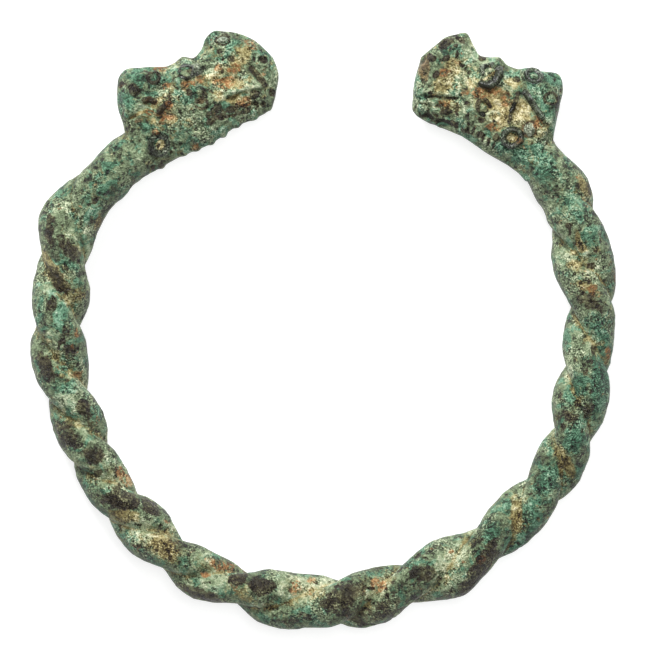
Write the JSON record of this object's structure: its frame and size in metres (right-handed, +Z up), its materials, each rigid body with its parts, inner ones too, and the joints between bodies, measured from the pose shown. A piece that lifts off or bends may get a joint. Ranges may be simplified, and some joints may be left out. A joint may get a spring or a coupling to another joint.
{
  "type": "torc",
  "caption": "Open bronze neck ring twisted like a rope, its ends cast as animal heads that face each other across a gap.",
  "frame": {"origin": "on the resting plane, under the middle of the torc's outline", "axes": "+Z up through the ring, +Y towards the gap between the heads, +X towards the head on the right"},
  "size_m": [0.1398, 0.143, 0.0142],
  "materials": {
    "bronze": "cast bronze under a mottled green and brown patina, pitted, with pale dirt in the hollows, satin"
  },
  "bodies": {
    "root": {"torc": "bronze"}
  },
  "joints": []
}
